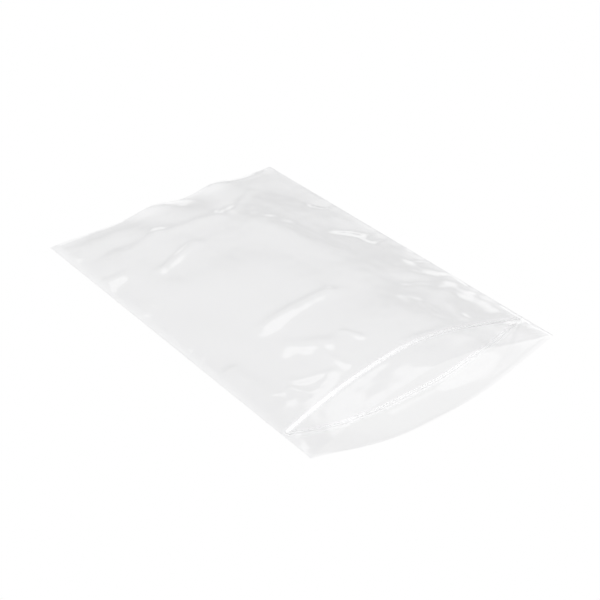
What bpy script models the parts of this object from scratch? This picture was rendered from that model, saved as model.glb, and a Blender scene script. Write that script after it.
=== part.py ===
"""A clear press-to-close bag, lying on its back film with the mouth sprung open.

One sheet of film is folded at the bottom and welded to itself along both sides.
Two closing strips cross it inside the mouth: a rib under the upper film and a channel on the lower film.
+Z is up and +Y runs from the mouth to the bottom fold. The origin is under the middle of the bag.
"""

import math
from collections import namedtuple

import bmesh
import bpy
import numpy as np
from mathutils import Vector

# Bag, in metres
BAG_WIDTH = 0.200
BAG_LENGTH = 0.320
FILM_THICKNESS = 0.0001
WELD_BEAD_RADIUS = 0.0004
WELD_GAP = 0.0004

# Open mouth. The lips past the closing strips are free: the upper one droops and the lower one flares upward
MOUTH_HALF_WIDTH = 0.0972
MOUTH_CORNER_HEIGHT = 0.0217
MOUTH_RISE = 0.0232
RISE_FALL = 0.6
UPPER_LIP_DROOP = 0.0022
LOWER_LIP_FLARE = 0.0018
LIP_EDGE_CURL = 0.0007
LIP_EDGE_WIDTH = 0.004

# Where the bag lies on the table
FOLD_CORNER_HEIGHT = 0.0010
REST_STRIP_SHARE = 0.20
SIDE_CURL = 1.6

# Closing strips
LIP_LENGTH = 0.0277
STRIP_GAP = 0.0003
STRIP_END_SHARE = 0.975
CRUSH_START_SHARE = 0.930
CRUSHED_HEIGHT_SHARE = 0.20
FLANGE_THICKNESS = 0.00015
RIB_FLANGE_WIDTH = 0.0044
RIB_STEM_WIDTH = 0.00045
RIB_STEM_HEIGHT = 0.00065
RIB_HEAD_WIDTH = 0.0011
RIB_HEAD_HEIGHT = 0.00055
CHANNEL_FLANGE_WIDTH = 0.0056
CHANNEL_WIDTH = 0.0022
CHANNEL_HEIGHT = 0.0013
JAW_THICKNESS = 0.00035
JAW_MOUTH = 0.0006
JAW_LIP = 0.0003

# Mesh
COLUMNS = 30
LIP_ROWS = 3
STRIP_ROWS = 4
UPPER_POCKET_ROWS = 44
FOLD_ROWS = 4
LOWER_POCKET_ROWS = 12
STRIP_ZONE = 0.006
SIDE_CROWDING = 0.4
UPPER_FOLD_CROWDING = 1.15
LOWER_FOLD_CROWDING = 2.0
STRIP_STATIONS = 42
BEAD_SIDES = 10

MOUTH_Y = -BAG_LENGTH / 2
FOLD_Y = BAG_LENGTH / 2 - WELD_BEAD_RADIUS
PANEL_LENGTH = FOLD_Y - MOUTH_Y
FOLD_HALF_WIDTH = BAG_WIDTH / 2 - WELD_BEAD_RADIUS
ZIP_Y = MOUTH_Y + LIP_LENGTH

# A soft fold of the film: a ridge, or a valley where its height is negative, along a line seen from above.
# Folds and waves are in millimetres
MM = 0.001
Fold = namedtuple("Fold", "start end spread height")

UPPER_FOLDS = {
    "cross ridge near the bottom": Fold((-58, 66), (-20, 76), 5, 2.0),
    "valley before it": Fold((-50, 50), (-12, 56), 14, -0.9),
    "hump before the valley": Fold((-44, 14), (-6, 18), 22, 1.3),
    "cross ridge near the mouth": Fold((-48, -48), (2, -46), 5.5, 1.5),
    "left pillow end": Fold((-90, 137), (-58, 138), 9, 2.2),
    "left pillow corner": Fold((-60, 106), (-36, 112), 8, 1.3),
    "middle pillow end": Fold((-30, 114), (12, 104), 7, 1.1),
    "left corner dent": Fold((-88, 120), (-66, 124), 9, -1.5),
    "bottom dent": Fold((30, 120), (22, 116), 5, -0.9),
    "right corner shoulder": Fold((30, 98), (46, 60), 20, 2.2),
    "right corner dent": Fold((66, 124), (78, 92), 15, -2.2),
    "right shoulder": Fold((30, 78), (46, 2), 11, 1.3),
    "right side pucker": Fold((66, 24), (80, 36), 9, -2.4),
    "right side small pucker": Fold((82, 8), (90, 10), 5, -1.2),
    "right upper pucker": Fold((90, 82), (93, 78), 5, -1.2),
    "right side dimple": Fold((86, -28), (94, -27), 5, -1.2),
    "right mouth dimple": Fold((58, -58), (70, -63), 8, -1.2),
    "right mouth first ridge": Fold((76, -62), (102, -64), 5, 1.0),
    "right mouth second ridge": Fold((98, -76), (46, -91), 6, 1.1),
    "right mouth third ridge": Fold((98, -94), (68, -103), 5, 0.8),
    "right mouth bend": Fold((60, -104), (54, -122), 5, 0.9),
    "left mouth flat ridge": Fold((-52, -76), (-37, -93), 6, 1.6),
    "left side roll": Fold((-91, -64), (-88, -106), 9, 3.6),
    "left side step": Fold((-98, 96), (-84, 92), 4, 1.2),
}

# The lower film lifts a little where the stiff closing strip holds it
LOWER_FOLDS = {
    "strip support": Fold((-40, -133), (60, -133), 7, 1.6),
}

# Soft unevenness of the upper film, as waves in every direction
UNEVENNESS_SEED = 5
WAVE_COUNT = 14
WAVE_LENGTHS = (34, 75)
WAVE_HEIGHT = 0.17
WAVE_SHARE_AT_STRIP = 0.3

# A wave of the bottom fold that lifts both panels: its place across the bag, spread and height
Wave = namedtuple("Wave", "x spread height")

FOLD_WAVES = {
    "middle": Wave(-13, 17, 4.1),
    "right": Wave(44, 16, 4.6),
}
WAVE_REACH = 0.024

# Folds die out near the side welds, the bottom fold and the closing strips, which all hold the film straight
SIDE_DAMPING = 0.005
FOLD_DAMPING = 0.010
STRIP_DAMPING = 0.007

# Where the upper film would sink into the lower one, it rests on it with a soft bend
CONTACT_SOFTNESS = 0.0014


def clear_scene():
    for obj in list(bpy.data.objects):
        bpy.data.objects.remove(obj, do_unlink=True)


def smooth_step(low, high, value):
    share = min(max((value - low) / (high - low), 0.0), 1.0)
    return share * share * (3 - 2 * share)


def bag_share(y):
    """0 at the mouth and 1 at the bottom fold."""
    return min(max((y - MOUTH_Y) / PANEL_LENGTH, 0.0), 1.0)


def half_width(y):
    return MOUTH_HALF_WIDTH + (FOLD_HALF_WIDTH - MOUTH_HALF_WIDTH) * bag_share(y)


def weld_height(y):
    """The side welds are straight and come down from the mouth's corners to the bottom fold."""
    return MOUTH_CORNER_HEIGHT + (FOLD_CORNER_HEIGHT - MOUTH_CORNER_HEIGHT) * bag_share(y)


def lip_share(y):
    """0 from the closing strips inward and 1 at the mouth."""
    return min(max((ZIP_Y - y) / LIP_LENGTH, 0.0), 1.0)


def fold_depth(fold, x, y):
    """The fold's height at a point, falling off on both sides of its line and past its ends."""
    start, end, point = Vector(fold.start) * MM, Vector(fold.end) * MM, Vector((x, y))
    line = end - start
    share = min(max((point - start).dot(line) / line.length_squared, 0.0), 1.0)
    distance = (point - start - line * share).length
    return fold.height * MM * math.exp(-((distance / (fold.spread * MM)) ** 2))


def fold_wave(x, y):
    """How far the bottom fold's waves lift the film."""
    lift = sum(wave.height * MM * math.exp(-(((x / MM - wave.x) / wave.spread) ** 2)) for wave in FOLD_WAVES.values())
    return lift * math.exp(-(((FOLD_Y - y) / WAVE_REACH) ** 2))


def make_uneven_waves():
    """Waves in random directions, as their wave numbers per millimetre and their phase."""
    rng = np.random.default_rng(UNEVENNESS_SEED)
    angle = rng.uniform(0, math.tau, WAVE_COUNT)
    number = math.tau / rng.uniform(*WAVE_LENGTHS, WAVE_COUNT)
    phase = rng.uniform(0, math.tau, WAVE_COUNT)
    return list(zip(number * np.cos(angle), number * np.sin(angle), phase))


UNEVEN_WAVES = make_uneven_waves()


def unevenness(x, y):
    waves = (math.sin((across * x + along * y) / MM + phase) for across, along, phase in UNEVEN_WAVES)
    return WAVE_HEIGHT * MM * sum(waves)


def lower_height(x, y):
    """Outer face of the lower film: flat on the table in the middle, curling up to the side welds."""
    across = min(abs(x) / half_width(y), 1.0)
    curl = max((across - REST_STRIP_SHARE) / (1 - REST_STRIP_SHARE), 0.0) ** SIDE_CURL
    folds = sum(fold_depth(fold, x, y) for fold in LOWER_FOLDS.values())
    left_side = smooth_step(0.130, -0.020, x) * smooth_step(1, 0.75, across)
    flare = LOWER_LIP_FLARE * lip_share(y) ** 1.5 * left_side
    edge = LIP_EDGE_CURL * smooth_step(LIP_EDGE_WIDTH, 0, y - MOUTH_Y) * smooth_step(1, 0.9, across)
    return (weld_height(y) - WELD_GAP / 2) * curl + fold_wave(x, y) + folds + flare + edge


def upper_height(x, y):
    """Outer face of the upper film: an arch over the side welds that sinks towards the bottom fold."""
    across = min(abs(x) / half_width(y), 1.0)
    arch = MOUTH_RISE * (1 - bag_share(y)) ** RISE_FALL * (1 - across**2)
    droop = UPPER_LIP_DROOP * lip_share(y) ** 2 * (1 - across**2)
    loose = smooth_step(0, SIDE_DAMPING, half_width(y) * (1 - across)) * smooth_step(0, FOLD_DAMPING, FOLD_Y - y)
    off_strip = smooth_step(0, STRIP_DAMPING, abs(y - ZIP_Y) - CHANNEL_FLANGE_WIDTH / 2)
    folds = off_strip * sum(fold_depth(fold, x, y) for fold in UPPER_FOLDS.values())
    waves = (WAVE_SHARE_AT_STRIP + (1 - WAVE_SHARE_AT_STRIP) * off_strip) * unevenness(x, y)
    height = weld_height(y) + WELD_GAP / 2 + arch - droop + loose * (folds + waves) + fold_wave(x, y)
    lowest = lower_height(x, y) + WELD_GAP
    return lowest + (height - lowest + math.hypot(height - lowest, CONTACT_SOFTNESS * loose)) / 2


def row_places(pocket_rows, crowding):
    """Places along a panel from its lip to the bottom fold, close together at the strip and near the fold."""
    lip = np.linspace(MOUTH_Y, ZIP_Y - STRIP_ZONE, LIP_ROWS + 1)
    strip = np.linspace(ZIP_Y - STRIP_ZONE, ZIP_Y + STRIP_ZONE, STRIP_ROWS + 1)
    pocket = FOLD_Y - (FOLD_Y - ZIP_Y - STRIP_ZONE) * np.linspace(1, 0, pocket_rows + 1) ** crowding
    return [float(y) for y in (*lip, *strip[1:], *pocket[1:])]


UPPER_PLACES = row_places(UPPER_POCKET_ROWS, UPPER_FOLD_CROWDING)
LOWER_PLACES = row_places(LOWER_POCKET_ROWS, LOWER_FOLD_CROWDING)[::-1]
UPPER_ROWS = len(UPPER_PLACES) - 1
LOWER_ROWS = len(LOWER_PLACES) - 1


def sheet_point(across, row):
    """Where a point of the flat sheet lies once the sheet is folded. Rows run from the upper lip to the lower."""
    if row <= UPPER_ROWS:
        y = UPPER_PLACES[row]
        x = across * half_width(y)
        return Vector((x, y, upper_height(x, y)))
    if row >= UPPER_ROWS + FOLD_ROWS:
        y = LOWER_PLACES[row - UPPER_ROWS - FOLD_ROWS]
        x = across * half_width(y)
        return Vector((x, y, lower_height(x, y)))
    x = across * FOLD_HALF_WIDTH
    top, bottom = upper_height(x, FOLD_Y), lower_height(x, FOLD_Y)
    angle = math.pi / 2 - math.pi * (row - UPPER_ROWS) / FOLD_ROWS
    radius = (top - bottom) / 2
    return Vector((x, FOLD_Y + WELD_GAP / 2 * math.cos(angle), (top + bottom) / 2 + radius * math.sin(angle)))


def add_object(name, mesh_data, collection, material=None):
    mesh = bpy.data.meshes.new(name)
    mesh_data.to_mesh(mesh)
    mesh_data.free()
    obj = bpy.data.objects.new(name, mesh)
    collection.objects.link(obj)
    if material:
        mesh.materials.append(material)
        mesh.shade_smooth()
        mesh.set_sharp_from_angle(angle=math.radians(40))
    return obj


def make_weld_bead(side, tools):
    """A straight round bead where a hot wire cut and welded both panels."""
    mouth = Vector((side * MOUTH_HALF_WIDTH, MOUTH_Y + WELD_BEAD_RADIUS, MOUTH_CORNER_HEIGHT))
    corner = Vector((side * FOLD_HALF_WIDTH, BAG_LENGTH / 2, FOLD_CORNER_HEIGHT))
    run = corner - mouth
    bead = bmesh.new()
    bmesh.ops.create_cone(
        bead,
        cap_ends=True,
        segments=BEAD_SIDES,
        radius1=WELD_BEAD_RADIUS,
        radius2=WELD_BEAD_RADIUS,
        depth=run.length,
    )
    obj = add_object("weld_bead_right" if side > 0 else "weld_bead_left", bead, tools)
    obj.location = (mouth + corner) / 2
    obj.rotation_mode = "QUATERNION"
    obj.rotation_quaternion = run.to_track_quat("Z", "X")
    obj.hide_render = True
    obj.display_type = "WIRE"
    return obj


def make_bag_film(collection, tools, material):
    """The flat sheet is folded at the bottom, given its thickness and closed along the sides by the weld beads."""
    rows = UPPER_ROWS + FOLD_ROWS + LOWER_ROWS
    sheet = bmesh.new()
    bmesh.ops.create_grid(sheet, x_segments=COLUMNS, y_segments=rows, size=1)
    for vert in sheet.verts:
        across = (1 - SIDE_CROWDING) * vert.co.x + SIDE_CROWDING * math.sin(vert.co.x * math.pi / 2)
        vert.co = sheet_point(across, round((vert.co.y + 1) / 2 * rows))
    film = add_object("bag_film", sheet, collection, material)
    wall = film.modifiers.new("Film thickness", "SOLIDIFY")
    wall.thickness = FILM_THICKNESS
    wall.offset = -1
    for side in (-1, 1):
        weld = film.modifiers.new("Side weld", "BOOLEAN")
        weld.operation = "UNION"
        weld.solver = "EXACT"
        weld.object = make_weld_bead(side, tools)
    return film


def rib_profile():
    """Half of the arrow-headed rib, from the flange's edge to its tip, as distances along the bag and off the film."""
    flange, stem, head = RIB_FLANGE_WIDTH / 2, RIB_STEM_WIDTH / 2, RIB_HEAD_WIDTH / 2
    neck = FLANGE_THICKNESS + RIB_STEM_HEIGHT
    tip = neck + RIB_HEAD_HEIGHT
    return [(flange, 0), (flange, FLANGE_THICKNESS), (stem, FLANGE_THICKNESS), (stem, neck), (head, neck), (stem / 2, tip)]


def channel_profile():
    """Half of the channel with its hooked jaw, from the flange's edge to the middle of the channel's floor."""
    flange, outer, opening = CHANNEL_FLANGE_WIDTH / 2, CHANNEL_WIDTH / 2, JAW_MOUTH / 2
    inner = outer - JAW_THICKNESS
    top = FLANGE_THICKNESS + CHANNEL_HEIGHT
    return [
        (flange, 0),
        (flange, FLANGE_THICKNESS),
        (outer, FLANGE_THICKNESS),
        (outer, top - JAW_LIP),
        (inner, top),
        (opening, top - JAW_LIP / 2),
        (opening, top - JAW_LIP),
        (inner, top - 2 * JAW_LIP),
        (inner, FLANGE_THICKNESS),
    ]


def make_strip(name, half_profile, film_height, side, collection, material):
    """Lofts a closing strip along the film's curve, with its ends crushed. side is -1 under the upper film."""
    profile = half_profile + [(-along, off) for along, off in reversed(half_profile)]
    reach = STRIP_END_SHARE * half_width(ZIP_Y)
    strip = bmesh.new()
    rings = []
    for station in range(STRIP_STATIONS + 1):
        x = reach * (2 * station / STRIP_STATIONS - 1)
        step = reach / STRIP_STATIONS
        run = Vector((2 * step, 0, film_height(x + step, ZIP_Y) - film_height(x - step, ZIP_Y)))
        rise = Vector((0, 2 * step, film_height(x, ZIP_Y + step) - film_height(x, ZIP_Y - step))).normalized()
        off_film = run.cross(rise).normalized() * side
        foot = Vector((x, ZIP_Y, film_height(x, ZIP_Y))) + off_film * (FILM_THICKNESS + STRIP_GAP)
        across = abs(x) / half_width(ZIP_Y)
        crush = 1 - (1 - CRUSHED_HEIGHT_SHARE) * smooth_step(CRUSH_START_SHARE, STRIP_END_SHARE, across)
        ring = []
        for along, off in profile:
            height = off if off <= FLANGE_THICKNESS else FLANGE_THICKNESS + (off - FLANGE_THICKNESS) * crush
            ring.append(strip.verts.new(foot + rise * along + off_film * height))
        rings.append(ring)
    count = len(profile)
    for ring, following in zip(rings, rings[1:]):
        for i in range(count):
            j = (i + 1) % count
            strip.faces.new((ring[i], ring[j], following[j], following[i]))
    strip.faces.new(rings[0])
    strip.faces.new(reversed(rings[-1]))
    bmesh.ops.recalc_face_normals(strip, faces=strip.faces)
    return add_object(name, strip, collection, material)


def make_material(name, colour, roughness, alpha):
    material = bpy.data.materials.new(name)
    material.use_nodes = True
    shader = material.node_tree.nodes["Principled BSDF"]
    shader.inputs["Base Color"].default_value = (*colour, 1)
    shader.inputs["Roughness"].default_value = roughness
    shader.inputs["Metallic"].default_value = 0
    shader.inputs["Alpha"].default_value = alpha
    return material


def make_bag():
    clear_scene()
    bag = bpy.data.collections.new("zipper_bag")
    tools = bpy.data.collections.new("weld_tools")
    for collection in (bag, tools):
        bpy.context.scene.collection.children.link(collection)
    film = make_material("clear_film", (0.90, 0.91, 0.92), 0.12, 0.35)
    strip = make_material("clear_strip", (0.95, 0.95, 0.95), 0.25, 0.70)
    make_bag_film(bag, tools, film)
    make_strip("zip_rib", rib_profile(), upper_height, -1, bag, strip)
    make_strip("zip_channel", channel_profile(), lower_height, 1, bag, strip)


make_bag()
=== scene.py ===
"""The looks of a clear press-to-close bag: its film and closing strips, a white table and soft studio light.

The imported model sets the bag's size and place. +Z is up and +Y runs from the mouth to the bottom fold.
"""

import math
from collections import namedtuple

import bpy
import numpy as np
from mathutils import Euler, Matrix, Vector


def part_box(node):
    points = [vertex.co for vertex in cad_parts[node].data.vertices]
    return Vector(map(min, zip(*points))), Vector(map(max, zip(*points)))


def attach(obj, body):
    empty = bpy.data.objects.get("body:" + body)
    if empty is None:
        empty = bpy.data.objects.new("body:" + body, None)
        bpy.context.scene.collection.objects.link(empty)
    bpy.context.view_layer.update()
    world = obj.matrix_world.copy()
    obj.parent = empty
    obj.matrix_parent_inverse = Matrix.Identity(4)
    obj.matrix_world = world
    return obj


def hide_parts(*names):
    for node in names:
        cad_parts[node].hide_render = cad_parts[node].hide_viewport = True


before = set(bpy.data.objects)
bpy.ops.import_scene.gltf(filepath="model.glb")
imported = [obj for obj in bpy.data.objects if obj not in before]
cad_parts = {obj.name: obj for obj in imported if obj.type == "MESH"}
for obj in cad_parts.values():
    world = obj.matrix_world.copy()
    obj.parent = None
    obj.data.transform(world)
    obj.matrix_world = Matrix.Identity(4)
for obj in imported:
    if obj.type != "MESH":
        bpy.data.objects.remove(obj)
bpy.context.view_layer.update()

# The film's main form, as in the solids
MM = 0.001
FILM_LOW, FILM_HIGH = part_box("bag_film")
MOUTH_Y = FILM_LOW.y
WELD_BEAD_RADIUS = 0.4 * MM
FOLD_Y = FILM_HIGH.y - WELD_BEAD_RADIUS
FOLD_HALF_WIDTH = FILM_HIGH.x - WELD_BEAD_RADIUS
PANEL_LENGTH = FOLD_Y - MOUTH_Y
FILM_THICKNESS = 0.1 * MM
WELD_GAP = 0.4 * MM
MOUTH_HALF_WIDTH = 97.2 * MM
MOUTH_CORNER_HEIGHT = 21.7 * MM
MOUTH_RISE = 23.2 * MM
RISE_FALL = 0.6
FOLD_CORNER_HEIGHT = 1.0 * MM
REST_STRIP_SHARE = 0.20
SIDE_CURL = 1.6
LIP_LENGTH = 27.7 * MM
ZIP_Y = MOUTH_Y + LIP_LENGTH

# The closing strips' profiles
STRIP_GAP = 0.3 * MM
STRIP_END_SHARE = 0.975
CRUSH_START_SHARE = 0.930
CRUSHED_HEIGHT_SHARE = 0.20
FLANGE_THICKNESS = 0.15 * MM
RIB_FLANGE_WIDTH = 4.4 * MM
RIB_STEM_WIDTH = 0.45 * MM
RIB_STEM_HEIGHT = 0.65 * MM
RIB_HEAD_WIDTH = 1.1 * MM
RIB_HEAD_HEIGHT = 0.55 * MM
CHANNEL_FLANGE_WIDTH = 5.6 * MM
CHANNEL_WIDTH = 2.2 * MM
CHANNEL_HEIGHT = 1.3 * MM
JAW_THICKNESS = 0.35 * MM
JAW_MOUTH = 0.6 * MM
JAW_LIP = 0.3 * MM

# How fine the meshes are. Crowding makes the film's cells smaller towards its edges
COLUMNS = 170
UPPER_ROWS = 200
FOLD_ROWS = 6
LOWER_ROWS = 60
SIDE_CROWDING = 0.35
UPPER_CROWDING = 0.35
LOWER_CROWDING = 0.7
STRIP_STATIONS = 240
SLOPE_STEP = 0.5 * MM
BEAD_STATIONS = 160
BEAD_SIDES = 12
MERGE_DISTANCE = 0.001 * MM
FILM_SMOOTH_ANGLE = math.radians(60)
STRIP_SMOOTH_ANGLE = math.radians(40)

# A soft fold of the film, in millimetres: a ridge, or a valley where its height is negative, along a line
# seen from above
Fold = namedtuple("Fold", "start end spread height")

UPPER_FOLDS = {
    "cross ridge near the bottom": Fold((-58, 66), (-23, 78), 5, 2.6),
    "valley before it": Fold((-50, 50), (-12, 56), 14, -0.9),
    "hump before the valley": Fold((-44, 14), (-6, 18), 22, 1.3),
    "cross ridge near the mouth": Fold((-50, -48), (3, -45), 6, 1.9),
    "left pillow end": Fold((-92, 134), (-52, 136), 17, 2.5),
    "left pillow corner": Fold((-60, 106), (-36, 112), 8, 1.3),
    "middle pillow end": Fold((-30, 114), (12, 104), 7, 1.1),
    "left corner dent": Fold((-88, 120), (-66, 124), 9, -1.5),
    "bottom dent": Fold((30, 120), (22, 116), 5, -0.9),
    "right corner crease": Fold((27, 106), (60, 130), 3.5, 0.8),
    "right corner shoulder": Fold((30, 98), (46, 60), 20, 1.5),
    "right corner dent": Fold((68, 122), (78, 92), 16, -1.5),
    "right shoulder": Fold((30, 78), (46, 2), 12, 1.0),
    "right side pucker": Fold((78, 35), (87, 27), 13, -2.8),
    "right side small pucker": Fold((82, 8), (90, 10), 5, -0.8),
    "right upper pucker": Fold((88, 82), (92, 76), 5, -1.9),
    "right side dimple": Fold((86, -28), (94, -27), 6, -0.5),
    "right mouth dimple": Fold((58, -58), (70, -63), 8, -1.2),
    "right mouth first ridge": Fold((76, -62), (102, -64), 6, 0.6),
    "right mouth second ridge": Fold((98, -76), (46, -91), 7, 0.7),
    "right mouth third ridge": Fold((98, -94), (68, -103), 6, 0.5),
    "right mouth bend": Fold((60, -104), (54, -122), 5, 0.9),
    "left mouth flat ridge": Fold((-52, -76), (-37, -93), 8, 2.1),
    "left mouth branch": Fold((-44, -100), (-40, -120), 3, 0.8),
    "left mouth second branch": Fold((-56, -90), (-59, -106), 3, 0.7),
    "middle mouth streak": Fold((-21, -92), (-17, -106), 2.6, 1.1),
    "left mouth tip": Fold((-70, -106), (-50, -118), 2.6, 0.9),
    "left mouth hook": Fold((-53, -120), (-61, -122), 2.6, 0.7),
    "left mouth upright": Fold((-70, -102), (-77, -113), 2.6, 0.8),
    "left mouth foot": Fold((-75, -110), (-70, -121), 2.6, 1.2),
    "left side roll": Fold((-90, -66), (-87, -106), 7.5, 4.4),
    "left broad roll": Fold((-72, 98), (-70, 42), 17, 1.5),
    "left side step": Fold((-97, 86), (-84, 82), 6, 1.7),
    "left side second step": Fold((-96, 48), (-86, 38), 4, 0.7),
}

# The lower film lifts a little where the stiff closing strip holds it, and its lip flares upward
LOWER_FOLDS = {
    "strip support": Fold((-40, -133), (60, -133), 7, 1.6),
}
LOWER_LIP_FLARE = 1.8 * MM
FLARE_START_X, FLARE_FULL_X = 130 * MM, -20 * MM
FLARE_END_SHARE = 0.75
FLARE_POWER = 1.5
LIP_EDGE_CURL = 0.7 * MM
LIP_EDGE_WIDTH = 4 * MM
UPPER_LIP_DROOP = 2.2 * MM

# Next to the right weld the upper film leaves it more flatly, most of all at the mouth
WELD_SLACK = 2.6 * MM
WELD_SLACK_REACH = 9 * MM
WELD_SLACK_FULL_X = 60 * MM

# The mouth stands a little fuller in its middle than its plain arch. Place and spread are in millimetres
MOUTH_SWELL = 1.8 * MM
SWELL_PLACE = (2, -128)
SWELL_SPREAD = (42, 40)
SWELL_SIDE_DAMPING = 20 * MM

# Soft unevenness of the whole film, as waves in every direction, in millimetres
UNEVENNESS_SEED = 5
LONG_WAVES = dict(count=14, shortest=34, longest=75, height=0.17)
SHORT_WAVES = dict(count=18, shortest=9, longest=16, height=0.016)
WAVE_SHARE_AT_STRIP = 0.3
LOWER_WAVE_SHARE = 0.6
SIDE_CALM_SHARE = 0.9

# Puckers along the side welds, long across the weld and short along it, in millimetres
PUCKERS = dict(count=7, shortest=9, longest=24, height=0.11)
PUCKER_REACH = 8
PUCKER_STRETCH = 0.2
PUCKER_STRENGTH = 2

# Fine creases, most of them near the sides, in millimetres
CREASE_SEED = 12
CREASE_COUNT = 64
CREASE_SIDE_X = 98
CREASE_INWARD_SHARE = 0.75
CREASE_INWARD_POWER = 1.6
CREASE_Y = (-124, 150)
CREASE_ANGLE = (-0.2, 0.7)
CREASE_LENGTH = (5, 20)
CREASE_SPREAD = (1.8, 3.6)
CREASE_HEIGHT = (0.03, 0.09)

# Waves of the bottom fold, which lift both films, in millimetres
Wave = namedtuple("Wave", "x spread height")

FOLD_WAVES = {
    "middle": Wave(-13, 17, 4.1),
    "right": Wave(44, 16, 4.6),
}
WAVE_REACH = 24 * MM

# Folds and unevenness fade out at the side welds, at the bottom fold and at the closing strip
SIDE_DAMPING = 5 * MM
FOLD_DAMPING = 6 * MM
STRIP_DAMPING = 7 * MM

# How softly the upper film comes to lie on the lower one
CONTACT_SOFTNESS = 1.4 * MM


def smooth_step(low, high, value):
    share = np.clip((value - low) / (high - low), 0, 1)
    return share * share * (3 - 2 * share)


def bag_share(y):
    """0 at the mouth and 1 at the bottom fold."""
    return np.clip((y - MOUTH_Y) / PANEL_LENGTH, 0, 1)


def half_width(y):
    return MOUTH_HALF_WIDTH + (FOLD_HALF_WIDTH - MOUTH_HALF_WIDTH) * bag_share(y)


def weld_height(y):
    return MOUTH_CORNER_HEIGHT + (FOLD_CORNER_HEIGHT - MOUTH_CORNER_HEIGHT) * bag_share(y)


def fold_depth(fold, x, y):
    """The fold's height at each point, falling off on both sides of its line and past its ends."""
    (x0, y0), (x1, y1) = np.array(fold.start) * MM, np.array(fold.end) * MM
    along = (x - x0) * (x1 - x0) + (y - y0) * (y1 - y0)
    share = np.clip(along / ((x1 - x0) ** 2 + (y1 - y0) ** 2), 0, 1)
    distance = np.hypot(x - x0 - (x1 - x0) * share, y - y0 - (y1 - y0) * share)
    return fold.height * MM * np.exp(-((distance / (fold.spread * MM)) ** 2))


def fold_wave(x, y):
    """How far the bottom fold's waves lift the film."""
    lift = sum(w.height * MM * np.exp(-(((x / MM - w.x) / w.spread) ** 2)) for w in FOLD_WAVES.values())
    return lift * np.exp(-(((FOLD_Y - y) / WAVE_REACH) ** 2))


def make_waves(rng, count, shortest, longest, height):
    """Waves in random directions, as their wave numbers, phase and height."""
    angle = rng.uniform(0, math.tau, count)
    number = math.tau / rng.uniform(shortest, longest, count)
    phase = rng.uniform(0, math.tau, count)
    return list(zip(number * np.cos(angle), number * np.sin(angle), phase, [height] * count))


def wave_height(waves, x, y):
    return MM * sum(
        height * np.sin((along_x * x + along_y * y) / MM + phase)
        for along_x, along_y, phase, height in waves
    )


def scattered_creases():
    """Short faint folds at random places: ridges on the right side and valleys on the left."""
    rng = np.random.default_rng(CREASE_SEED)
    creases = []
    for _ in range(CREASE_COUNT):
        side = rng.choice((-1, 1))
        x = side * CREASE_SIDE_X * (1 - CREASE_INWARD_SHARE * rng.random() ** CREASE_INWARD_POWER)
        y = rng.uniform(*CREASE_Y)
        angle = rng.normal(*CREASE_ANGLE)
        reach = rng.uniform(*CREASE_LENGTH) / 2
        ends = [(x + turn * reach * math.cos(angle), y + turn * reach * math.sin(angle)) for turn in (-1, 1)]
        creases.append(Fold(*ends, rng.uniform(*CREASE_SPREAD), side * rng.uniform(*CREASE_HEIGHT)))
    return creases


unevenness = np.random.default_rng(UNEVENNESS_SEED)
UPPER_WAVES = make_waves(unevenness, **LONG_WAVES) + make_waves(unevenness, **SHORT_WAVES)
LOWER_WAVES = make_waves(unevenness, **LONG_WAVES)
PUCKER_WAVES = make_waves(unevenness, **PUCKERS)
CREASES = scattered_creases()


def lip_share(y):
    """0 from the closing strip inward and 1 at the mouth."""
    return np.clip((ZIP_Y - y) / LIP_LENGTH, 0, 1)


def edge_distance(x, y):
    """How far a point lies inside the nearer side weld."""
    return half_width(y) - np.minimum(abs(x), half_width(y))


def lower_height(x, y):
    """The lower film rests on the table in its middle and curls up to the welds."""
    across = np.minimum(abs(x) / half_width(y), 1)
    inside = smooth_step(1, SIDE_CALM_SHARE, across)
    curl = np.maximum((across - REST_STRIP_SHARE) / (1 - REST_STRIP_SHARE), 0) ** SIDE_CURL
    folds = sum(fold_depth(fold, x, y) for fold in LOWER_FOLDS.values())
    flare_side = smooth_step(FLARE_START_X, FLARE_FULL_X, x) * smooth_step(1, FLARE_END_SHARE, across)
    flare = LOWER_LIP_FLARE * lip_share(y) ** FLARE_POWER * flare_side
    edge = LIP_EDGE_CURL * smooth_step(LIP_EDGE_WIDTH, 0, y - MOUTH_Y) * inside
    uneven = LOWER_WAVE_SHARE * wave_height(LOWER_WAVES, x, y) * inside * np.sqrt(curl)
    return (weld_height(y) - WELD_GAP / 2) * curl + fold_wave(x, y) + folds + flare + edge + uneven


def weld_slack(x, y):
    """How much lower the upper film lies near the right weld than its plain arch."""
    rise = 1 - np.exp(-edge_distance(x, y) / WELD_SLACK_REACH)
    return WELD_SLACK * rise * (1 - bag_share(y)) ** 2 * smooth_step(0, WELD_SLACK_FULL_X, x)


def mouth_swell(x, y):
    (middle_x, middle_y), (spread_x, spread_y) = SWELL_PLACE, SWELL_SPREAD
    bump = np.exp(-(((x / MM - middle_x) / spread_x) ** 2) - ((y / MM - middle_y) / spread_y) ** 2)
    return MOUTH_SWELL * bump * smooth_step(0, SWELL_SIDE_DAMPING, edge_distance(x, y))


def weld_pucker(x, y):
    fading = np.exp(-((edge_distance(x, y) / MM / PUCKER_REACH) ** 2))
    return PUCKER_STRENGTH * wave_height(PUCKER_WAVES, PUCKER_STRETCH * x, y) * fading


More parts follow.
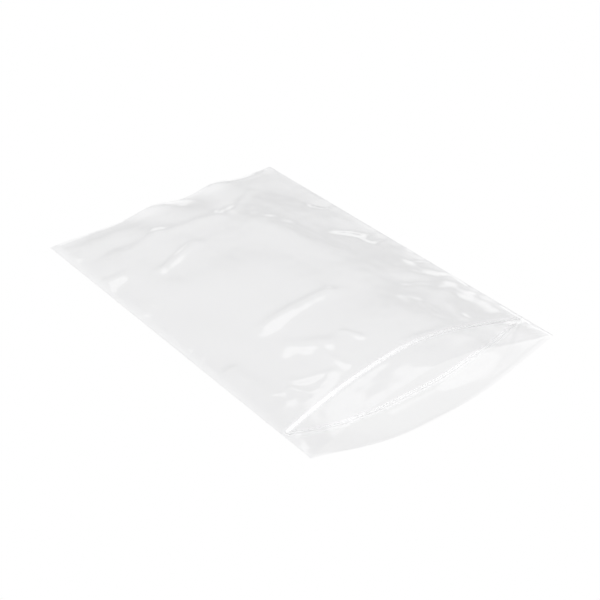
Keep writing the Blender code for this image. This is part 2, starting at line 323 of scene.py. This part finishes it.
def upper_height(x, y):
    """The upper film is an arch that sinks towards the bottom fold and stays above the lower film."""
    across = np.minimum(abs(x) / half_width(y), 1)
    arch = MOUTH_RISE * (1 - bag_share(y)) ** RISE_FALL * (1 - across**2)
    droop = UPPER_LIP_DROOP * lip_share(y) ** 2 * (1 - across**2)
    loose = smooth_step(0, SIDE_DAMPING, edge_distance(x, y)) * smooth_step(0, FOLD_DAMPING, FOLD_Y - y)
    off_strip = smooth_step(0, STRIP_DAMPING, abs(y - ZIP_Y) - CHANNEL_FLANGE_WIDTH / 2)
    folds = sum(fold_depth(fold, x, y) for fold in list(UPPER_FOLDS.values()) + CREASES)
    waves = (WAVE_SHARE_AT_STRIP + (1 - WAVE_SHARE_AT_STRIP) * off_strip) * wave_height(UPPER_WAVES, x, y)
    uneven = loose * (off_strip * (folds + weld_pucker(x, y)) + waves)
    form = weld_height(y) + WELD_GAP / 2 + arch - droop - weld_slack(x, y) + mouth_swell(x, y)
    height = form + uneven + fold_wave(x, y)
    lowest = lower_height(x, y) + WELD_GAP
    softness = CONTACT_SOFTNESS * loose
    return lowest + (height - lowest + np.hypot(height - lowest, softness)) / 2


def crowded_ends(share, crowding):
    """Even steps from 0 to 1 made shorter towards both ends."""
    return share - crowding * np.sin(math.tau * share) / math.tau


def folded_sheet(across, row):
    """Where each point of the flat sheet lies once it is folded. Rows run from the upper lip to the lower."""
    turn = np.clip((row - UPPER_ROWS) / FOLD_ROWS, 0, 1)
    upper_share = crowded_ends(np.clip(1 - row / UPPER_ROWS, 0, 1), UPPER_CROWDING)
    lower_share = crowded_ends(np.clip((row - UPPER_ROWS - FOLD_ROWS) / LOWER_ROWS, 0, 1), LOWER_CROWDING)
    y = FOLD_Y - PANEL_LENGTH * (upper_share + lower_share)
    x = across * half_width(y)
    top, bottom = upper_height(x, y), lower_height(x, y)
    angle = math.pi * (0.5 - turn)
    z = (top + bottom) / 2 + (top - bottom) / 2 * np.sin(angle)
    return np.stack([x, y + WELD_GAP / 2 * np.cos(angle), z], axis=-1)


def vertex_places(mesh):
    places = np.empty(len(mesh.vertices) * 3)
    mesh.vertices.foreach_get("co", places)
    return places.reshape(-1, 3)


def apply_modifiers(piece):
    bpy.context.view_layer.objects.active = piece
    for modifier in list(piece.modifiers):
        bpy.ops.object.modifier_apply(modifier=modifier.name)


def make_film(material):
    """One flat sheet, folded at the bottom and given its thickness."""
    rows = UPPER_ROWS + FOLD_ROWS + LOWER_ROWS
    bpy.ops.mesh.primitive_grid_add(x_subdivisions=COLUMNS, y_subdivisions=rows, size=2)
    film = bpy.context.object
    film.name = "clear_film"
    flat = vertex_places(film.data)
    across = (1 - SIDE_CROWDING) * flat[:, 0] + SIDE_CROWDING * np.sin(flat[:, 0] * math.pi / 2)
    row = np.round((flat[:, 1] + 1) / 2 * rows)
    film.data.vertices.foreach_set("co", folded_sheet(across, row).ravel())
    film.data.update()
    wall = film.modifiers.new("Film thickness", "SOLIDIFY")
    wall.thickness = FILM_THICKNESS
    wall.offset = -1
    apply_modifiers(film)
    film.data.materials.append(material)
    bpy.ops.object.shade_smooth_by_angle(angle=FILM_SMOOTH_ANGLE)
    return film


def make_weld_bead(name, side, material):
    """The bead that the hot wire leaves along one side: a tube bent along the weld."""
    bpy.ops.mesh.primitive_grid_add(x_subdivisions=BEAD_STATIONS, y_subdivisions=BEAD_SIDES, size=2)
    bead = bpy.context.object
    bead.name = name
    flat = vertex_places(bead.data)
    y = MOUTH_Y + (flat[:, 0] + 1) / 2 * PANEL_LENGTH
    turn = (flat[:, 1] + 1) * math.pi
    x = side * half_width(y)
    middle = (upper_height(x, y) + lower_height(x, y)) / 2
    places = [x + WELD_BEAD_RADIUS * np.cos(turn), y, middle + WELD_BEAD_RADIUS * np.sin(turn)]
    bead.data.vertices.foreach_set("co", np.stack(places, axis=-1).ravel())
    bead.data.update()
    close_tube()
    bead.data.materials.append(material)
    bpy.ops.object.shade_smooth_by_angle(angle=FILM_SMOOTH_ANGLE)
    return bead


def rib_profile():
    """Half of the arrow-headed rib, from flange to tip: distances along the bag and off the film."""
    flange, stem, head = RIB_FLANGE_WIDTH / 2, RIB_STEM_WIDTH / 2, RIB_HEAD_WIDTH / 2
    neck = FLANGE_THICKNESS + RIB_STEM_HEIGHT
    tip = neck + RIB_HEAD_HEIGHT
    return [
        (flange, 0),
        (flange, FLANGE_THICKNESS),
        (stem, FLANGE_THICKNESS),
        (stem, neck),
        (head, neck),
        (stem / 2, tip),
    ]


def channel_profile():
    """Half of the channel with its hooked jaw, from the flange's edge to the foot of the jaw's inner wall."""
    flange, outer, opening = CHANNEL_FLANGE_WIDTH / 2, CHANNEL_WIDTH / 2, JAW_MOUTH / 2
    inner = outer - JAW_THICKNESS
    top = FLANGE_THICKNESS + CHANNEL_HEIGHT
    return [
        (flange, 0),
        (flange, FLANGE_THICKNESS),
        (outer, FLANGE_THICKNESS),
        (outer, top - JAW_LIP),
        (inner, top),
        (opening, top - JAW_LIP / 2),
        (opening, top - JAW_LIP),
        (inner, top - 2 * JAW_LIP),
        (inner, FLANGE_THICKNESS),
    ]


def make_strip(name, half_profile, film_height, side, material):
    """A closing strip along the film's curve: a grid wrapped round the profile.

    side is -1 for a strip under the upper film and 1 for a strip on the lower one.
    """
    profile = np.array(half_profile + [(-along, off) for along, off in reversed(half_profile)])
    count = len(profile)
    bpy.ops.mesh.primitive_grid_add(x_subdivisions=STRIP_STATIONS, y_subdivisions=count, size=2)
    strip = bpy.context.object
    strip.name = name
    flat = vertex_places(strip.data)
    across = flat[:, 0] * STRIP_END_SHARE
    corner = np.round((flat[:, 1] + 1) / 2 * count).astype(int) % count
    x = across * half_width(ZIP_Y)
    zip_y = np.full_like(x, ZIP_Y)
    run = (film_height(x + SLOPE_STEP, zip_y) - film_height(x - SLOPE_STEP, zip_y)) / (2 * SLOPE_STEP)
    rise = (film_height(x, zip_y + SLOPE_STEP) - film_height(x, zip_y - SLOPE_STEP)) / (2 * SLOPE_STEP)
    off_film = np.stack([-run, -rise, np.ones_like(x)], axis=-1)
    off_film *= side / np.linalg.norm(off_film, axis=1, keepdims=True)
    along_bag = np.stack([np.zeros_like(x), np.ones_like(x), rise], axis=-1)
    along_bag /= np.linalg.norm(along_bag, axis=1, keepdims=True)
    crush = 1 - (1 - CRUSHED_HEIGHT_SHARE) * smooth_step(CRUSH_START_SHARE, STRIP_END_SHARE, abs(across))
    along, off = profile[corner].T
    height = np.minimum(off, FLANGE_THICKNESS) + np.maximum(off - FLANGE_THICKNESS, 0) * crush
    foot = np.stack([x, zip_y, film_height(x, zip_y)], axis=-1)
    places = foot + along_bag * along[:, None] + off_film * (height + FILM_THICKNESS + STRIP_GAP)[:, None]
    strip.data.vertices.foreach_set("co", places.ravel())
    strip.data.update()
    close_tube()
    strip.data.materials.append(material)
    bpy.ops.object.shade_smooth_by_angle(angle=STRIP_SMOOTH_ANGLE)
    return strip


def close_tube():
    """Joins the edges of a grid that was wrapped into a tube, and fills both ends."""
    bpy.ops.object.mode_set(mode="EDIT")
    bpy.ops.mesh.select_all(action="SELECT")
    bpy.ops.mesh.remove_doubles(threshold=MERGE_DISTANCE)
    bpy.ops.mesh.select_all(action="DESELECT")
    bpy.ops.mesh.select_mode(type="EDGE")
    bpy.ops.mesh.select_non_manifold(extend=False, use_wire=False, use_boundary=True, use_multi_face=False)
    bpy.ops.mesh.edge_face_add()
    bpy.ops.mesh.select_all(action="SELECT")
    bpy.ops.mesh.normals_make_consistent(inside=False)
    bpy.ops.mesh.select_mode(type="VERT")
    bpy.ops.object.mode_set(mode="OBJECT")


class Value:
    """A number that changes over a surface. Arithmetic on it adds Math nodes."""

    def __init__(self, maker, socket):
        self.maker = maker
        self.socket = socket

    def math(self, operation, first, second=0.0):
        return self.maker.node("ShaderNodeMath", {"operation": operation}, {0: first, 1: second})

    def __add__(self, other):
        return self.math("ADD", self, other)

    def __radd__(self, other):
        return self.math("ADD", other, self)

    def __sub__(self, other):
        return self.math("SUBTRACT", self, other)

    def __rsub__(self, other):
        return self.math("SUBTRACT", other, self)

    def __mul__(self, other):
        return self.math("MULTIPLY", self, other)

    def __rmul__(self, other):
        return self.math("MULTIPLY", other, self)

    def __pow__(self, other):
        return self.math("POWER", self, other)

    def __abs__(self):
        return self.math("ABSOLUTE", self)

    def larger(self, other):
        return self.math("MAXIMUM", self, other)


class NodeMaker:
    """Builds a node tree. node() is the only place that adds a node."""

    def __init__(self, tree):
        self.tree = tree
        self.tree.nodes.clear()

    def node(self, kind, settings=None, sockets=None, output=0):
        made = self.tree.nodes.new(kind)
        for setting, value in (settings or {}).items():
            setattr(made, setting, value)
        for socket, value in (sockets or {}).items():
            if isinstance(value, Value):
                self.tree.links.new(value.socket, made.inputs[socket])
            else:
                made.inputs[socket].default_value = value
        return Value(self, made.outputs[output]) if made.outputs else None

    def coordinate(self, space, axis):
        place = self.node("ShaderNodeTexCoord", output=space)
        return self.node("ShaderNodeSeparateXYZ", sockets={"Vector": place}, output=axis)

    def ramp(self, value, start, end, first=0.0, last=1.0):
        """first where value is start, last where it is end, and in step between them."""
        return self.node("ShaderNodeMapRange", sockets={0: value, 1: start, 2: end, 3: first, 4: last})


class MaterialMaker(NodeMaker):
    def __init__(self, name):
        self.material = bpy.data.materials.new(name)
        self.material.use_nodes = True
        super().__init__(self.material.node_tree)

    def surface(self, shader):
        self.node("ShaderNodeOutputMaterial", sockets={"Surface": shader})
        return self.material


# Clear film mirrors this share seen straight on, and all of what it meets at a slant
FILM_MIRRORED = 0.04
FILM_COLOR = (0.996, 0.996, 0.997, 1)
FILM_ROUGHNESS = 0.12

# How milky a closing strip is, where it is thick and in its flange
STRIP_MILKY, FLANGE_MILKY = 0.32, 0.10
THICK_HALF_WIDTH, FLANGE_START = 0.8 * MM, 1.4 * MM
STRIP_COLOR = (0.97, 0.97, 0.97, 1)
STRIP_ROUGHNESS = 0.9

WHITE = (1, 1, 1, 1)


def film_material():
    """Clear polyethylene: each face mirrors a little, more at a slant, and lets the rest through."""
    maker = MaterialMaker("clear polyethylene film")
    slant = maker.node("ShaderNodeLayerWeight", sockets={"Blend": 0.5}, output="Facing")
    mirrored = FILM_MIRRORED + (1 - FILM_MIRRORED) * slant**5
    clear = maker.node("ShaderNodeBsdfTransparent", sockets={"Color": FILM_COLOR})
    mirror = maker.node("ShaderNodeBsdfAnisotropic", sockets={"Color": WHITE, "Roughness": FILM_ROUGHNESS})
    return maker.surface(maker.node("ShaderNodeMixShader", sockets={0: mirrored, 1: clear, 2: mirror}))


def strip_material():
    """Polyethylene that is milky where the profile is thick and nearly clear in its thin flange."""
    maker = MaterialMaker("milky polyethylene strip")
    off_middle = abs(maker.coordinate("Object", "Y") - ZIP_Y)
    milky = maker.ramp(off_middle, THICK_HALF_WIDTH, FLANGE_START, STRIP_MILKY, FLANGE_MILKY)
    look = {"Base Color": STRIP_COLOR, "Roughness": STRIP_ROUGHNESS, "Alpha": milky}
    return maker.surface(maker.node("ShaderNodeBsdfPrincipled", sockets=look))


# A painted shadow in the floor's white, under the bag: it follows the bag's outline, and moves off to the
# right and back where a weld stands off the table.
# Each pair runs from no shadow to full shadow
PAINTED_SHADOW_DEPTH = 0.07
SHADOW_SHIFT = Vector((17, 23)) * MM
SHADOW_RIGHT = 101 * MM, 97 * MM
SHADOW_LEFT = -98 * MM, -90 * MM
SHADOW_FRONT = MOUTH_Y + 0.5 * MM, MOUTH_Y + 3 * MM
SHADOW_BACK = FOLD_Y, FOLD_Y - 8 * MM
TABLE_SIZE = 8
TABLE_DROP = 0.1 * MM
TABLE_GREY = (0.58, 0.58, 0.58, 1)


def painted_floor_shadow(maker):
    """The painted shadow's mask: 1 under the bag and 0 beside it, with soft edges."""
    x = maker.coordinate("Object", "X")
    y = maker.coordinate("Object", "Y")
    to_mouth = maker.ramp(y, FOLD_Y, MOUTH_Y)
    nearer_x = x - SHADOW_SHIFT.x * to_mouth * (x * (1 / MOUTH_HALF_WIDTH)) ** 2
    raised = to_mouth * (nearer_x * (1 / MOUTH_HALF_WIDTH)) ** 2
    shadow_x = x - SHADOW_SHIFT.x * raised
    shadow_y = y - SHADOW_SHIFT.y * raised
    across = maker.ramp(shadow_x, *SHADOW_RIGHT) * maker.ramp(shadow_x, *SHADOW_LEFT)
    return across * maker.ramp(shadow_y, *SHADOW_FRONT) * maker.ramp(shadow_y, *SHADOW_BACK)


def floor_material():
    """White to camera, mirror and transmission rays, less a faint painted shadow, and an even grey to the
    lamps.
    """
    maker = MaterialMaker("white table")
    camera_ray = maker.node("ShaderNodeLightPath", output="Is Camera Ray")
    glossy_ray = maker.node("ShaderNodeLightPath", output="Is Glossy Ray")
    transmission_ray = maker.node("ShaderNodeLightPath", output="Is Transmission Ray")
    seen = camera_ray.larger(glossy_ray).larger(transmission_ray)
    # Painted shadow: the floor's emitted white is made darker under the bag
    white_level = 1.0 - PAINTED_SHADOW_DEPTH * painted_floor_shadow(maker)
    white = maker.node("ShaderNodeEmission", sockets={"Color": WHITE, "Strength": white_level})
    matt = maker.node("ShaderNodeBsdfDiffuse", sockets={"Color": TABLE_GREY})
    return maker.surface(maker.node("ShaderNodeMixShader", sockets={0: seen, 1: matt, 2: white}))


def make_floor():
    bpy.ops.mesh.primitive_plane_add(size=TABLE_SIZE, location=(0, 0, -TABLE_DROP))
    floor = bpy.context.object
    floor.name = "table_top"
    floor.data.materials.append(floor_material())


# The studio that the film mirrors, by how high a direction points, a little lighter to the left and back
STUDIO_TOP_HEIGHT = 0.4
STUDIO_LOW, STUDIO_HIGH = 0.43, 0.565
STUDIO_LEFT = 0.1
STUDIO_LEAST = 0.25
STUDIO_COLOR = (0.99, 0.99, 1, 1)
HORIZON_BOTTOM, HORIZON_TOP = -0.01, 0.10


def make_world():
    """White to the camera and, near the horizon, to all that mirrors it, with a dim studio above."""
    world = bpy.data.worlds.new("studio")
    bpy.context.scene.world = world
    world.use_nodes = True
    maker = NodeMaker(world.node_tree)
    white = maker.node("ShaderNodeBackground", sockets={"Color": WHITE, "Strength": 1.0})
    height = maker.coordinate("Generated", "Z")
    leftward = maker.coordinate("Generated", "Y") - maker.coordinate("Generated", "X")
    by_height = maker.ramp(height, 0.0, STUDIO_TOP_HEIGHT, STUDIO_LOW, STUDIO_HIGH)
    dim = (by_height + STUDIO_LEFT * leftward).larger(STUDIO_LEAST)
    horizon = maker.ramp(height, HORIZON_BOTTOM, HORIZON_TOP, 1.0, 0.0) ** 2
    radiance = dim * (1.0 - horizon) + horizon
    studio = maker.node("ShaderNodeBackground", sockets={"Color": STUDIO_COLOR, "Strength": radiance})
    seen = maker.node("ShaderNodeLightPath", output="Is Camera Ray")
    mixed = maker.node("ShaderNodeMixShader", sockets={0: seen, 1: studio, 2: white})
    maker.node("ShaderNodeOutputWorld", sockets={"Surface": mixed})


# Camera, fitted to the bag's corners and closing strips in the photograph
CAMERA_PLACE = Vector((-0.434, -0.6155, 0.5336))
CAMERA_PITCH = math.radians(35.28)
CAMERA_YAW = math.radians(35.95)
CAMERA_ROLL = math.radians(-0.7)
FRAME_PIXELS = 600
FOCAL_PIXELS = 1322
SENSOR_WIDTH = 36


def make_camera():
    data = bpy.data.cameras.new("camera")
    data.sensor_width = SENSOR_WIDTH
    data.lens = SENSOR_WIDTH * FOCAL_PIXELS / FRAME_PIXELS
    camera = bpy.data.objects.new("camera", data)
    bpy.context.scene.collection.objects.link(camera)
    camera.location = CAMERA_PLACE
    level = Euler((math.pi / 2 - CAMERA_PITCH, 0, -CAMERA_YAW)).to_matrix()
    camera.rotation_euler = (level @ Matrix.Rotation(CAMERA_ROLL, 3, "Z")).to_euler()
    bpy.context.scene.camera = camera


# Only the back softbox is mirrored: film that mirrored the two large ones would vanish on the white table
Softbox = namedtuple("Softbox", "place size power mirrored")

SOFTBOXES = {
    "overhead softbox": Softbox((-0.4, -0.8, 1.8), (2.6, 2.6), 37, False),
    "left softbox": Softbox((-1.9, -0.5, 1.0), (1.4, 1.4), 20, False),
    "back softbox": Softbox((0.5, 0.78, 1.8), (1.9, 0.75), 4.0, True),
}


def make_softbox(name, softbox):
    """An area lamp that faces the bag."""
    data = bpy.data.lights.new(name, "AREA")
    data.shape = "RECTANGLE"
    data.size, data.size_y = softbox.size
    data.energy = softbox.power
    lamp = bpy.data.objects.new(name, data)
    bpy.context.scene.collection.objects.link(lamp)
    lamp.location = softbox.place
    lamp.rotation_euler = (-Vector(softbox.place)).to_track_quat("-Z", "Y").to_euler()
    lamp.visible_glossy = softbox.mirrored


def make_bag_film(material):
    """The folded sheet and both weld beads, joined into the one piece that they are."""
    film = make_film(material)
    beads = [make_weld_bead("left_weld_bead", -1, material), make_weld_bead("right_weld_bead", 1, material)]
    bpy.ops.object.select_all(action="DESELECT")
    for piece in beads + [film]:
        piece.select_set(True)
    bpy.context.view_layer.objects.active = film
    bpy.ops.object.join()
    return film


# Light meets many clear faces on its way through the bag
TRANSPARENT_BOUNCES = 32

bpy.ops.object.select_all(action="DESELECT")
film = make_bag_film(film_material())
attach(film, "root")
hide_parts("bag_film")
milky = strip_material()
rib = make_strip("closing_rib", rib_profile(), upper_height, -1, milky)
channel = make_strip("closing_channel", channel_profile(), lower_height, 1, milky)
for strip, node in ((rib, "zip_rib"), (channel, "zip_channel")):
    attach(strip, "root")
    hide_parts(node)
make_floor()
make_world()
for name, softbox in SOFTBOXES.items():
    make_softbox(name, softbox)
make_camera()
bpy.context.scene.view_settings.view_transform = "Standard"
bpy.context.scene.cycles.transparent_max_bounces = TRANSPARENT_BOUNCES
